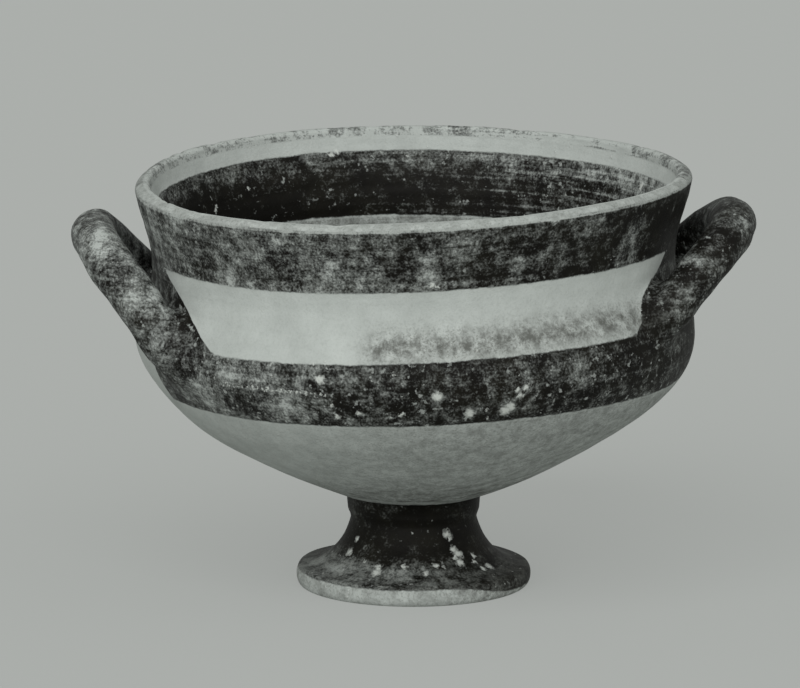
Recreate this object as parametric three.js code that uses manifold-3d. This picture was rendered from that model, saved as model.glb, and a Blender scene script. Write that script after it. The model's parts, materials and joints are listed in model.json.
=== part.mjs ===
// A wheel-thrown clay bowl on a low stem, with an offset lip, a flaring hollow foot and two
// loop handles that rise obliquely from the belly. Body, foot and handles are fired into one
// piece, so the whole pot is one mesh.
//
// Millimetres, +Z up. The origin is the centre of the circle that the foot stands on, and the
// handles lie on the X axis.

import * as THREE from "three";
import { mergeVertices } from "three/addons/utils/BufferGeometryUtils.js";
import Module from "manifold-3d";

// Bowl, outside
const rimRadius = 84.6; // outermost point of the lip
const rimHeight = 127.2; // top of the lip
const waistRadius = 79.3; // narrowest point under the lip
const waistHeight = 101;
const bellyRadius = 85;
const bellyHeight = 80;
const undersideAngle = 21.5; // degrees, how the underside leaves the stem
const lipAngle = 79; // degrees, how steeply the wall arrives at the lip

// How full the bowl's curves are, as shares of the stretch that each curve spans
const undersideStart = 0.42;
const undersideEnd = 0.45;
const shoulderPull = 0.45;
const lipStart = 0.4;
const lipEnd = 0.35;

// Thicknesses
const lipThickness = 4.8;
const wallThickness = 5.6; // at the belly
const floorThickness = 8; // on the axis, above the stem
const floorDish = 0.3; // how much higher the floor is half way out to the stem's radius

// Stem and foot
const stemTopRadius = 20.4; // where the bowl sits on the stem
const stemTopHeight = 28;
const collarDrop = 4; // the stem's upper part that is nearly straight
const neckRadius = 19.2; // narrowest point of the stem
const neckHeight = 20.6;
const footRadius = 35.7; // outermost point of the foot
const footEdgeHeight = 6; // top of the foot's edge
const restRadius = 34.4; // outer edge of the ring that the pot stands on
const restWidth = 8; // width of that ring
const hollowDepth = 15.5; // of the hollow under the foot
const hollowTopRadius = 9;
const hollowTopDrop = 1.5; // how much lower the hollow's roof is at that radius
const hollowRound = 4; // how long the hollow's curve runs level at its top and upright at its end
const edgeRound = 1.4; // height of the rounding under the foot's edge
const edgeSlant = 1.1; // how far the top of the foot's edge steps back
const footSlope = 5; // degrees, how steeply the foot's top leaves its edge
const footRun = 8.2; // how long the foot's top and the neck keep their directions
const neckSpread = 2.4; // how much the neck widens over that length
const collarStep = 0.3; // how much narrower the collar is than the bowl's start

// Handles
const rodDiameter = 13.8;
const handleReach = 103.7; // outermost point of each handle from the axis
const leftTipHeight = 111.8; // centre of the rod at the top of the loop at -X
const leftRootHeight = 85.5; // centre of the rod where it meets the wall at -X
const rightTipHeight = 110.4; // the same two heights at +X
const rightRootHeight = 88.8;
const rightTurn = -4; // degrees, how far the loop at +X is off from facing the other
const rootSpread = 37; // sideways distance of each root from the X axis
const rootDepth = 14; // how far the rod runs on past the wall's face before it is trimmed
const rootTrim = 0.5; // where it is trimmed, as a share of the wall's thickness
const rootFlare = 1.3; // how much thicker the rod is where it is pressed to the wall
const loopSquareness = 2.2; // 2 is a half ellipse, more is squarer

// The bowl sagged in the making: its +X side stands higher than its -X side and bulges more.
const rimRise = 3.56; // height of the rim at +X over the rim at -X
const bulgeShift = 1.9; // how far the belly's lower half is pushed towards +X
const bulgeHeight = 65; // where it is pushed most
const bulgeSpan = 20; // how far above and below that the push fades out

// Fineness of the facets
const turnSteps = 56;
const curveSteps = 6;
const lipSteps = 6;
const hollowSteps = 4;
const rodSides = 16;
const loopSteps = 20;

const wasm = await Module();
wasm.setup();

const radians = THREE.MathUtils.degToRad;
const point = (r, z) => new THREE.Vector2(r, z);
const along = (p, degrees, distance) =>
  point(p.x + distance * Math.cos(radians(degrees)), p.y + distance * Math.sin(radians(degrees)));

// A curve through the bowl's wall as points, from its foot end to its lip end.
function bezier(start, startHandle, endHandle, end) {
  return new THREE.CubicBezierCurve(start, startHandle, endHandle, end).getPoints(curveSteps);
}

// The outer face of the bowl, from the stem's top to just under the lip's round edge.
function bowlFace() {
  const stemTop = point(stemTopRadius, stemTopHeight);
  const belly = point(bellyRadius, bellyHeight);
  const waist = point(waistRadius, waistHeight);
  const lip = point(rimRadius, rimHeight - lipThickness / 2);
  const rise = bellyHeight - stemTopHeight;
  const offset = waistHeight - bellyHeight;
  const flare = lip.y - waistHeight;
  const underside = bezier(
    stemTop,
    along(stemTop, undersideAngle, undersideStart * (bellyRadius - stemTopRadius)),
    point(bellyRadius, bellyHeight - undersideEnd * rise),
    belly,
  );
  const shoulder = bezier(
    belly,
    point(bellyRadius, bellyHeight + shoulderPull * offset),
    point(waistRadius, waistHeight - shoulderPull * offset),
    waist,
  );
  const lipFlare = bezier(
    waist,
    point(waistRadius, waistHeight + lipStart * flare),
    along(lip, lipAngle + 180, lipEnd * flare),
    lip,
  );
  return [...underside, ...shoulder.slice(1), ...lipFlare.slice(1)];
}

// The wall's thickness grows from the lip to the belly and again to the floor.
function thicknessAt(height) {
  if (height > bellyHeight) {
    const share = (height - bellyHeight) / (rimHeight - bellyHeight);
    return THREE.MathUtils.lerp(wallThickness, lipThickness, Math.min(share, 1));
  }
  const share = (bellyHeight - height) / (bellyHeight - stemTopHeight);
  return THREE.MathUtils.lerp(wallThickness, floorThickness, Math.min(share, 1));
}

// The face moved into the clay by a share of the wall's thickness, from the lip down to the axis.
function insideFace(face, share) {
  const moved = [];
  face.forEach((p, i) => {
    const before = face[Math.max(i - 1, 0)];
    const after = face[Math.min(i + 1, face.length - 1)];
    const slope = after.clone().sub(before).normalize();
    const depth = share * thicknessAt(p.y);
    moved.push(point(p.x - slope.y * depth, p.y + slope.x * depth));
  });
  const floorHeight = stemTopHeight + share * floorThickness;
  const kept = moved.filter((p) => p.x > stemTopRadius && p.y > floorHeight);
  return [
    ...kept.reverse(),
    point(stemTopRadius / 2, floorHeight + floorDish),
    point(0, floorHeight),
  ];
}

// The lip's round edge, from the end of the outer face to the start of the inner face.
function lipEdge(outer, inner) {
  const centre = outer.clone().add(inner).multiplyScalar(0.5);
  const half = outer.clone().sub(inner).multiplyScalar(0.5);
  const top = rimHeight - centre.y;
  const edge = [];
  for (let i = 1; i < lipSteps; i++) {
    const turn = (Math.PI * i) / lipSteps;
    edge.push(
      point(
        centre.x + half.x * Math.cos(turn),
        centre.y + half.y * Math.cos(turn) + top * Math.sin(turn),
      ),
    );
  }
  return edge;
}

// The stem and foot, from the axis under the foot out over its edge and up to the neck's collar.
function footFace() {
  const ringInner = restRadius - restWidth;
  const hollow = new THREE.CubicBezierCurve(
    point(hollowTopRadius, hollowDepth - hollowTopDrop),
    point(hollowTopRadius + hollowRound, hollowDepth - hollowRound),
    point(ringInner - hollowRound, hollowRound),
    point(ringInner, 0),
  ).getPoints(hollowSteps);
  const edge = new THREE.CubicBezierCurve(
    point(restRadius, 0),
    point(footRadius + edgeSlant / 2, edgeRound / 2),
    point(footRadius + edgeSlant / 4, footEdgeHeight - edgeRound / 2),
    point(footRadius - edgeSlant, footEdgeHeight),
  ).getPoints(hollowSteps);
  const edgeTop = edge[edge.length - 1];
  const neck = point(neckRadius, neckHeight);
  const flare = new THREE.CubicBezierCurve(
    edgeTop,
    along(edgeTop, 180 - footSlope, footRun),
    point(neckRadius + neckSpread, neckHeight - footRun),
    neck,
  ).getPoints(curveSteps);
  const collar = point(stemTopRadius - collarStep, stemTopHeight - collarDrop);
  return [point(0, hollowDepth), ...hollow, ...edge, ...flare.slice(1), collar];
}

// A three.js geometry as a solid: shared corners merged, and triangles without area left out.
function solidOf(geometry) {
  const bare = geometry.clone();
  bare.deleteAttribute("normal");
  bare.deleteAttribute("uv");
  const merged = mergeVertices(bare, 1e-4);
  const triangles = [];
  for (let i = 0; i < merged.index.count; i += 3) {
    const [a, b, c] = [0, 1, 2].map((k) => merged.index.getX(i + k));
    if (a !== b && b !== c && c !== a) triangles.push(a, b, c);
  }
  return new wasm.Manifold(
    new wasm.Mesh({
      numProp: 3,
      vertProperties: new Float32Array(merged.attributes.position.array),
      triVerts: new Uint32Array(triangles),
    }),
  );
}

// Turns an outline of radius and height round the Z axis. It runs from the axis back to the axis.
function turned(outline) {
  const lathe = new THREE.LatheGeometry(outline, turnSteps);
  lathe.rotateX(Math.PI / 2);
  return solidOf(lathe);
}

// The radius of the outer face at a height above the belly or at it.
function faceRadiusAt(face, height) {
  for (let i = 1; i < face.length; i++) {
    const [low, high] = [face[i - 1], face[i]];
    if (low.y <= height && height <= high.y) {
      return THREE.MathUtils.mapLinear(height, low.y, high.y, low.x, high.x);
    }
  }
  return bellyRadius;
}

// The centre line of a handle on the +X side: a loop in a sloping plane, its ends past the wall.
class LoopCurve extends THREE.Curve {
  constructor(face, rootHeight, tipHeight) {
    super();
    this.tip = point(handleReach - rodDiameter / 2, tipHeight);
    const wallRadius = faceRadiusAt(face, rootHeight);
    const wall = point(Math.sqrt(wallRadius ** 2 - rootSpread ** 2), rootHeight);
    const inward = wall.clone().sub(this.tip).normalize();
    this.end = wall.addScaledVector(inward, rootDepth);
  }

  getPoint(t, target = new THREE.Vector3()) {
    const turn = Math.PI * t;
    const power = 2 / loopSquareness;
    const side = Math.cos(turn);
    const out = Math.max(Math.sin(turn), 0) ** power;
    const place = this.end.clone().lerp(this.tip, out);
    return target.set(place.x, rootSpread * Math.sign(side) * Math.abs(side) ** power, place.y);
  }
}

// The rod of a handle, swept along its loop and thickened towards its two ends.
function handleRod(loop) {
  const section = new THREE.Shape();
  section.absarc(0, 0, rodDiameter / 2, 0, 2 * Math.PI);
  const rod = new THREE.ExtrudeGeometry(section, {
    steps: loopSteps,
    curveSegments: rodSides / 2,
    extrudePath: loop,
  });
  const centres = loop.getSpacedPoints(loopSteps);
  const flareLength = rootDepth + rodDiameter;
  const position = rod.attributes.position;
  const corner = new THREE.Vector3();
  for (let i = 0; i < position.count; i++) {
    corner.fromBufferAttribute(position, i);
    const distances = centres.map((centre) => centre.distanceTo(corner));
    const nearest = centres[distances.indexOf(Math.min(...distances))];
    const toEnd = Math.min(nearest.distanceTo(centres[0]), nearest.distanceTo(centres[loopSteps]));
    const share = 1 - THREE.MathUtils.smoothstep(toEnd, rootDepth / 2, flareLength);
    corner.sub(nearest).multiplyScalar(1 + (rootFlare - 1) * share).add(nearest);
    position.setXYZ(i, ...corner);
  }
  return solidOf(rod);
}

// Both handles, with their roots trimmed inside the wall.
function handles(face) {
  const right = handleRod(new LoopCurve(face, rightRootHeight, rightTipHeight));
  const left = handleRod(new LoopCurve(face, leftRootHeight, leftTipHeight));
  const inside = insideFace(face, rootTrim);
  const core = turned([...inside.reverse(), point(0, inside[inside.length - 1].y)]);
  return left.rotate([0, 0, 180]).add(right.rotate([0, 0, rightTurn])).subtract(core);
}

// Shears the pot above its stem, so that the rim ends up higher at +X by rimRise, and pushes
// the belly sideways.
function sag(position) {
  for (let i = 0; i < position.count; i++) {
    const height = position.getZ(i);
    const share = THREE.MathUtils.smoothstep(height, stemTopHeight, bellyHeight);
    const slope = (share * rimRise) / (2 * rimRadius);
    const nearBulge = 1 - Math.min(Math.abs(height - bulgeHeight) / bulgeSpan, 1);
    const push = bulgeShift * THREE.MathUtils.smoothstep(nearBulge, 0, 1);
    position.setZ(i, height + slope * position.getX(i));
    position.setX(i, position.getX(i) + push);
  }
}

function geometryOf(solid) {
  const mesh = solid.getMesh();
  const geometry = new THREE.BufferGeometry();
  geometry.setAttribute("position", new THREE.BufferAttribute(mesh.vertProperties, 3));
  geometry.setIndex(new THREE.BufferAttribute(mesh.triVerts, 1));
  return geometry;
}

function footedBowl() {
  const face = bowlFace();
  const inner = insideFace(face, 1);
  const outline = [...footFace(), ...face, ...lipEdge(face[face.length - 1], inner[0]), ...inner];
  const geometry = geometryOf(turned(outline).add(handles(face)));
  sag(geometry.attributes.position);
  geometry.computeVertexNormals();
  const clay = new THREE.MeshStandardMaterial({ color: 0x6b6961, roughness: 0.75, metalness: 0 });
  const bowl = new THREE.Mesh(geometry, clay);
  bowl.name = "footed_bowl";
  return bowl;
}

const pot = new THREE.Group();
pot.add(footedBowl());

export default pot;
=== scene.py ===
# %% [markdown]
# # A painted clay bowl on a stem
#
# The object is an ancient drinking or serving bowl, thrown on a wheel from pale clay, with a stem,
# a spreading foot and two handles of rolled clay. It was painted with thin dark slip in bands and
# fired once, so it is a single piece. The slip has worn through in many places, and salts from the
# ground have left pale crusts on it.
#
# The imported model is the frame: it holds the pot's true form as one faceted solid. This script
# makes a finer skin of the same form, gives it the marks of the wheel and of wear, and paints it.

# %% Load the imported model
import json
import math
from functools import partial

import bmesh
import bpy
import numpy as np
from mathutils import Matrix, Vector
from mathutils.bvhtree import BVHTree

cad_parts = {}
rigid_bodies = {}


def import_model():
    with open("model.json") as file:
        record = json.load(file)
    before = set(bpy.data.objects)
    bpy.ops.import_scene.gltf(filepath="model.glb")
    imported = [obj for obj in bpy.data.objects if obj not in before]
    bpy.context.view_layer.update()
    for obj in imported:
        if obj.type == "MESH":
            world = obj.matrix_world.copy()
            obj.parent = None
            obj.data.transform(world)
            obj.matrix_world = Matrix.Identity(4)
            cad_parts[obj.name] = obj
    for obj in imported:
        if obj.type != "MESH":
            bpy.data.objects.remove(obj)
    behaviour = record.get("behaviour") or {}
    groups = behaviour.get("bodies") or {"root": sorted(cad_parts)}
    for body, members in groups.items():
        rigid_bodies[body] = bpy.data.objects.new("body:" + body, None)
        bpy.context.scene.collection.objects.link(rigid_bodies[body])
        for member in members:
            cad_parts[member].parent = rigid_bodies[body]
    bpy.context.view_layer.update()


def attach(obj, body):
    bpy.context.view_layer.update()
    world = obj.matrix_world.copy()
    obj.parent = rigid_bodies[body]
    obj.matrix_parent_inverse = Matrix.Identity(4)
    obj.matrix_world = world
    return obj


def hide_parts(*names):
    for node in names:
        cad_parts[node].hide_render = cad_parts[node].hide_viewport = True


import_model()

# %% [markdown]
# ## Units and sizes
#
# Blender works in metres here and a potter in millimetres, so all sizes are written in millimetres
# and turned to metres only when a mesh is made. The origin is the middle of the ring that the foot
# stands on, and the pot was turned about the Z axis.

# %% Sizes of the pot in millimetres
MM = 0.001

# outline of the bowl
RIM_RADIUS = 84.6
RIM_HEIGHT = 127.2
WAIST_RADIUS = 79.3
WAIST_HEIGHT = 101
BELLY_RADIUS = 85
BELLY_HEIGHT = 80
UNDERSIDE_ANGLE = 21.5
LIP_ANGLE = 79
UNDERSIDE_START = 0.42
UNDERSIDE_END = 0.45
SHOULDER_PULL = 0.45
LIP_START = 0.4
LIP_END = 0.35

# walls
LIP_THICKNESS = 4.8
WALL_THICKNESS = 5.6
FLOOR_THICKNESS = 8

# stem and foot
STEM_TOP_RADIUS = 20.4
STEM_TOP_HEIGHT = 28
COLLAR_DROP = 4
NECK_RADIUS = 19.2
NECK_HEIGHT = 20.6
FOOT_RADIUS = 35.7
FOOT_EDGE_HEIGHT = 6
REST_RADIUS = 34.4
REST_WIDTH = 8
HOLLOW_DEPTH = 15.5
HOLLOW_TOP_RADIUS = 9
HOLLOW_TOP_DROP = 1.5
HOLLOW_ROUND = 4
EDGE_ROUND = 1.4
EDGE_SLANT = 1.1
FOOT_SLOPE = 5
FOOT_RUN = 8.2
NECK_SPREAD = 2.4
COLLAR_STEP = 0.3

# handles
ROD_DIAMETER = 13.8
HANDLE_REACH = 103.7
LEFT_TIP_HEIGHT = 111.8
LEFT_ROOT_HEIGHT = 85.5
RIGHT_TIP_HEIGHT = 110.4
RIGHT_ROOT_HEIGHT = 88.8
RIGHT_TURN = -4
ROOT_SPREAD = 37
ROOT_DEPTH = 14
ROOT_FLARE = 1.3
LOOP_SQUARENESS = 2.2

# sag, bulge and warp
RIM_RISE = 3.56
BULGE_SHIFT = 1.9
BULGE_HEIGHT = 65
BULGE_SPAN = 20
RIM_WARP = 0.95
WARP_TURN = 124
WARP_DROP = 0.5
print("rim", 2 * RIM_RADIUS, "mm wide and", RIM_HEIGHT, "mm high at its middle")

# %% [markdown]
# ## The camera
#
# The picture was taken with a very long lens from well back, a little above the rim, so the ellipse
# of the rim is flat and the sides hardly converge. The camera is placed by two facts: the angle it
# looks down at, and the pixel that the pot's origin falls on. The pot is turned a little, so the
# handle at -X comes nearer the camera.

# %% Place the camera
def add_object(name, data):
    made = bpy.data.objects.new(name, data)
    bpy.context.scene.collection.objects.link(made)
    return made


PHOTO_WIDTH = 800
PHOTO_HEIGHT = 688
SENSOR_WIDTH = 36.0
LENS = 450.0
LOOK_DOWN = math.radians(12.8)
SIDE_STEP = math.radians(4.0)
ORIGIN_PIXEL = (413.5, 581.6)
PIXEL_SIZE = 170 / 556 * MM

focal_pixels = LENS / SENSOR_WIDTH * PHOTO_WIDTH
camera_distance = focal_pixels * PIXEL_SIZE
camera_place = camera_distance * Vector((
    -math.sin(SIDE_STEP) * math.cos(LOOK_DOWN),
    -math.cos(SIDE_STEP) * math.cos(LOOK_DOWN),
    math.sin(LOOK_DOWN),
))
to_origin = (-camera_place).to_track_quat("-Z", "Y")
right_of_centre = (ORIGIN_PIXEL[0] - PHOTO_WIDTH / 2) / focal_pixels
below_centre = (ORIGIN_PIXEL[1] - PHOTO_HEIGHT / 2) / focal_pixels
swing = Matrix.Rotation(math.atan(right_of_centre), 4, "Y")
tip_up = Matrix.Rotation(math.atan(below_centre), 4, "X")

camera_data = bpy.data.cameras.new("camera")
camera_data.lens = LENS
camera_data.sensor_width = SENSOR_WIDTH
camera_data.sensor_fit = "HORIZONTAL"
camera_data.clip_end = 20
camera = add_object("camera", camera_data)
camera_matrix = Matrix.Translation(camera_place) @ to_origin.to_matrix().to_4x4() @ swing @ tip_up
camera.matrix_world = camera_matrix
bpy.context.scene.camera = camera
print("camera stands", round(camera_distance, 3), "m away")

# %% [markdown]
# ## The profile
#
# A thrown pot is one profile turned round an axis. The profile is drawn as points of radius and
# height: it starts on the axis under the foot, runs out over the resting ring and the foot's edge,
# up the stem and the outside of the bowl, over the lip, and down the inside to the axis again.
# Bezier curves give the long sweeps, as on the real pot, where the potter's hands moved steadily,
# and the solid's profile is drawn with the same ones.

# %% Curves, and the outside of the bowl
def bezier(start, start_handle, end_handle, end, steps):
    t = np.linspace(0, 1, steps + 1)[:, None]
    points = [np.array(p, float) for p in (start, start_handle, end_handle, end)]
    weights = [(1 - t) ** 3, 3 * t * (1 - t) ** 2, 3 * t ** 2 * (1 - t), t ** 3]
    return sum(w * p for w, p in zip(weights, points))


def along(p, degrees, distance):
    angle = math.radians(degrees)
    return (p[0] + distance * math.cos(angle), p[1] + distance * math.sin(angle))


def bowl_face(steps=44):
    stem_top = (STEM_TOP_RADIUS, STEM_TOP_HEIGHT)
    belly = (BELLY_RADIUS, BELLY_HEIGHT)
    waist = (WAIST_RADIUS, WAIST_HEIGHT)
    lip = (RIM_RADIUS, RIM_HEIGHT - LIP_THICKNESS / 2)
    rise = BELLY_HEIGHT - STEM_TOP_HEIGHT
    offset = WAIST_HEIGHT - BELLY_HEIGHT
    flare = lip[1] - WAIST_HEIGHT
    underside = bezier(
        stem_top,
        along(stem_top, UNDERSIDE_ANGLE, UNDERSIDE_START * (BELLY_RADIUS - STEM_TOP_RADIUS)),
        (BELLY_RADIUS, BELLY_HEIGHT - UNDERSIDE_END * rise), belly, steps)
    shoulder = bezier(
        belly, (BELLY_RADIUS, BELLY_HEIGHT + SHOULDER_PULL * offset),
        (WAIST_RADIUS, WAIST_HEIGHT - SHOULDER_PULL * offset), waist, steps)
    lip_flare = bezier(
        waist, (WAIST_RADIUS, WAIST_HEIGHT + LIP_START * flare),
        along(lip, LIP_ANGLE + 180, LIP_END * flare), lip, steps)
    return np.vstack([underside, shoulder[1:], lip_flare[1:]])


face = bowl_face()
print("outside of the bowl:", len(face), "points")

# %% [markdown]
# The inside isn't drawn but follows from the outside: each point is moved in at right angles by the
# wall's thickness, which grows from the lip to the floor. Half that move gives the middle of the
# wall, which is needed later to cut the handles off.

# %% Inside and lip
FLOOR_STEPS = 24
FLOOR_BEND = (0.7, 1.6)
FLOOR_MIDDLE = 0.35


def thickness_at(height):
    above = (height - BELLY_HEIGHT) / (RIM_HEIGHT - BELLY_HEIGHT)
    below = (BELLY_HEIGHT - height) / (BELLY_HEIGHT - STEM_TOP_HEIGHT)
    upper = WALL_THICKNESS + (LIP_THICKNESS - WALL_THICKNESS) * np.clip(above, 0, 1)
    lower = WALL_THICKNESS + (FLOOR_THICKNESS - WALL_THICKNESS) * np.clip(below, 0, 1)
    return np.where(height > BELLY_HEIGHT, upper, lower)


def inside_face(face, share):
    slope = np.gradient(face, axis=0)
    slope /= np.linalg.norm(slope, axis=1)[:, None]
    depth = share * thickness_at(face[:, 1])
    moved = face + depth[:, None] * np.stack([-slope[:, 1], slope[:, 0]], 1)
    floor_height = STEM_TOP_HEIGHT + share * FLOOR_THICKNESS
    kept = moved[(moved[:, 0] > STEM_TOP_RADIUS) & (moved[:, 1] > floor_height)]
    floor = bezier(
        kept[0], (kept[0][0] * FLOOR_BEND[0], kept[0][1] - FLOOR_BEND[1]),
        (kept[0][0] * FLOOR_MIDDLE, floor_height), (0, floor_height), FLOOR_STEPS)
    return np.vstack([kept[::-1], floor[1:]])


def lip_edge(outer, inner, steps=16):
    centre = (outer + inner) / 2
    half = (outer - inner) / 2
    turn = np.linspace(0, math.pi, steps + 1)[1:-1]
    top = RIM_HEIGHT - centre[1]
    return np.stack([
        centre[0] + half[0] * np.cos(turn),
        centre[1] + half[1] * np.cos(turn) + top * np.sin(turn),
    ], 1)


inner = inside_face(face, 1)
print("inside of the bowl:", len(inner), "points")

# %% Foot and stem
RING_POINTS = 8
EDGE_STEPS = 14
SMALL_STEPS = 8
DOME_BEND = 2
COLLAR_BENDS = (1.5, 1)


def foot_face(steps=16):
    ring_inner = REST_RADIUS - REST_WIDTH
    dome = bezier(
        (0, HOLLOW_DEPTH), (HOLLOW_TOP_RADIUS / 2, HOLLOW_DEPTH),
        (HOLLOW_TOP_RADIUS - DOME_BEND, HOLLOW_DEPTH - HOLLOW_TOP_DROP / 2),
        (HOLLOW_TOP_RADIUS, HOLLOW_DEPTH - HOLLOW_TOP_DROP), SMALL_STEPS)
    hollow = bezier(
        (HOLLOW_TOP_RADIUS, HOLLOW_DEPTH - HOLLOW_TOP_DROP),
        (HOLLOW_TOP_RADIUS + HOLLOW_ROUND, HOLLOW_DEPTH - HOLLOW_ROUND),
        (ring_inner - HOLLOW_ROUND, HOLLOW_ROUND), (ring_inner, 0), steps)
    ring = np.linspace((ring_inner, 0), (REST_RADIUS, 0), RING_POINTS)
    edge = bezier(
        (REST_RADIUS, 0), (FOOT_RADIUS + EDGE_SLANT / 2, EDGE_ROUND / 2),
        (FOOT_RADIUS + EDGE_SLANT / 4, FOOT_EDGE_HEIGHT - EDGE_ROUND / 2),
        (FOOT_RADIUS - EDGE_SLANT, FOOT_EDGE_HEIGHT), EDGE_STEPS)
    edge_top = tuple(edge[-1])
    flare = bezier(
        edge_top, along(edge_top, 180 - FOOT_SLOPE, FOOT_RUN),
        (NECK_RADIUS + NECK_SPREAD, NECK_HEIGHT - FOOT_RUN), (NECK_RADIUS, NECK_HEIGHT), steps)
    collar_radius = STEM_TOP_RADIUS - COLLAR_STEP
    collar_height = STEM_TOP_HEIGHT - COLLAR_DROP
    collar = bezier(
        (NECK_RADIUS, NECK_HEIGHT), (NECK_RADIUS, NECK_HEIGHT + COLLAR_BENDS[0]),
        (collar_radius, collar_height - COLLAR_BENDS[1]), (collar_radius, collar_height),
        SMALL_STEPS)
    return np.vstack([dome, hollow[1:], ring[1:], edge[1:], flare[1:], collar[1:]])


foot = foot_face()
print("foot and stem:", len(foot), "points")

# %% The whole profile
profile = np.vstack([foot, face, lip_edge(face[-1], inner[0]), inner])
profile[0, 0] = profile[-1, 0] = 0
profile_length = np.hypot(*np.diff(profile, axis=0).T).sum()
print("profile:", len(profile), "points,", round(profile_length), "mm long")


# %% [markdown]
# ## Small helpers for nodes
#
# Every tree below is built in the script. One function adds a node, sets its options, fills its
# sockets with values or links, and hands back the output that is needed. A kind that is used often
# is named together with its setting. Sockets are given in their order, or in a dictionary by
# name, or by number where a Mix node has one name twice. Each tree gets that function bound to
# itself, as node. Others make an object from a chain of points, and run a tree on an object and
# keep the result as a plain mesh.

# %% Helpers for nodes and meshes
OPERATIONS = "ADD SUBTRACT MULTIPLY DIVIDE MULTIPLY_ADD MINIMUM MAXIMUM FLOOR POWER"
ADD, SUBTRACT, MULTIPLY, DIVIDE, MULTIPLY_ADD, MINIMUM, MAXIMUM, FLOOR, POWER = [
    ("ShaderNodeMath", {"operation": name}) for name in OPERATIONS.split()]
VECTOR_ADD, VECTOR_SUBTRACT, SCALE, DISTANCE = [
    ("ShaderNodeVectorMath", {"operation": name}) for name in "ADD SUBTRACT SCALE DISTANCE".split()]
MAP_RANGE = "ShaderNodeMapRange"
NOISE = "ShaderNodeTexNoise"
MIX = ("ShaderNodeMix", {"data_type": "RGBA"})
FIRST, SECOND, MIXED = 6, 7, 2


def add_node(tree, kind, *values, give=0, **options):
    kind, settings = kind if isinstance(kind, tuple) else (kind, {})
    made = tree.nodes.new(kind)
    for name, value in {**settings, **options}.items():
        setattr(made, name, value)
    named = values[-1] if values and isinstance(values[-1], dict) else {}
    in_order = enumerate(v for v in values if not isinstance(v, dict))
    for key, value in [*in_order, *named.items()]:
        if isinstance(value, bpy.types.NodeSocket):
            tree.links.new(value, made.inputs[key])
        else:
            made.inputs[key].default_value = value
    return made.outputs[give] if len(made.outputs) else made


print("math nodes in use:", OPERATIONS)


# %% Objects from points, and trees that run on them
def chain_object(name, points_mm):
    mesh = bpy.data.meshes.new(name)
    edges = [(i, i + 1) for i in range(len(points_mm) - 1)]
    mesh.from_pydata([tuple(float(v) * MM for v in p) for p in points_mm], edges, [])
    return add_object(name, mesh)


def new_tree(name, inputs):
    tree = bpy.data.node_groups.new(name, "GeometryNodeTree")
    tree.is_modifier = True
    tree.interface.new_socket("Geometry", in_out="INPUT", socket_type="NodeSocketGeometry")
    tree.interface.new_socket("Geometry", in_out="OUTPUT", socket_type="NodeSocketGeometry")
    for label, kind in inputs:
        tree.interface.new_socket(label, in_out="INPUT", socket_type="NodeSocket" + kind)
    given = tree.nodes.new("NodeGroupInput").outputs
    return tree, partial(add_node, tree), given, tree.nodes.new("NodeGroupOutput")


def run_tree(source, tree, name, **values):
    modifier = source.modifiers.new(name, "NODES")
    modifier.node_group = tree
    for item in tree.interface.items_tree:
        if item.in_out == "INPUT" and item.name in values:
            modifier[item.identifier] = values[item.name]
    evaluated = source.evaluated_get(bpy.context.evaluated_depsgraph_get())
    mesh = bpy.data.meshes.new_from_object(evaluated)
    mesh.name = name
    bpy.data.objects.remove(source)
    return add_object(name, mesh)


def finish_tree(tree, output, geometry, material):
    node = partial(add_node, tree)
    real = node("GeometryNodeRealizeInstances", geometry)
    painted = node("GeometryNodeSetMaterial", {"Geometry": real, "Material": material})
    tree.links.new(painted, output.inputs["Geometry"])


# %% [markdown]
# ## Turn the pot on the wheel
#
# A lathe is a rule: every point of the profile repeats round the axis. The tree lays out a grid
# with one column for each turn step and one row for each profile point, looks up the profile's
# radius and height for each row, and swings each column round by its own angle. Merging by
# distance then closes the seam, and gathers the rows on the axis into single points.

# %% Tree: turn a profile
MERGE_DISTANCE = 0.002


def wheel_tree():
    inputs = [("Turn Steps", "Int"), ("Material", "Material")]
    tree, node, given, output = new_tree("turn_on_the_wheel", inputs)
    chain = given["Geometry"]
    steps = given["Turn Steps"]
    rows = node("GeometryNodeAttributeDomainSize", chain, component="MESH")
    columns = node(ADD, steps, 1.0)
    grid = node("GeometryNodeMeshGrid", {"Vertices X": columns, "Vertices Y": rows})
    index = node("GeometryNodeInputIndex")
    middle = node(ADD, index, 0.5)
    columns_in = node(DIVIDE, middle, rows)
    column = node(FLOOR, columns_in)
    first = node(MULTIPLY, column, rows)
    row = node(SUBTRACT, index, first)
    position = node("GeometryNodeInputPosition")
    point = node("GeometryNodeSampleIndex",
                 {"Geometry": chain}, data_type="FLOAT_VECTOR", domain="POINT")
    tree.links.new(position, point.node.inputs["Value"])
    tree.links.new(row, point.node.inputs["Index"])
    share = node(DIVIDE, column, steps)
    turn = node(MULTIPLY, share, math.tau)
    swung = node("ShaderNodeVectorRotate",
                 {"Vector": point, "Angle": turn}, rotation_type="Z_AXIS")
    placed = node("GeometryNodeSetPosition", {"Geometry": grid, "Position": swung})
    closed = node("GeometryNodeMergeByDistance",
                  {"Geometry": placed, "Distance": MERGE_DISTANCE * MM})
    finish_tree(tree, output, closed, given["Material"])
    return tree


wheel = wheel_tree()
print(wheel.name, "has", len(wheel.nodes), "nodes")


# %% Turn the body, and the middle of its wall
def turn_profile(name, profile_mm, steps):
    chain = chain_object(name + "_profile", [(r, 0, z) for r, z in profile_mm])
    turned = run_tree(chain, wheel, name, **{"Turn Steps": steps})
    mesh = bmesh.new()
    mesh.from_mesh(turned.data)
    bmesh.ops.recalc_face_normals(mesh, faces=mesh.faces)
    mesh.to_mesh(turned.data)
    mesh.free()
    return turned


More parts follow.
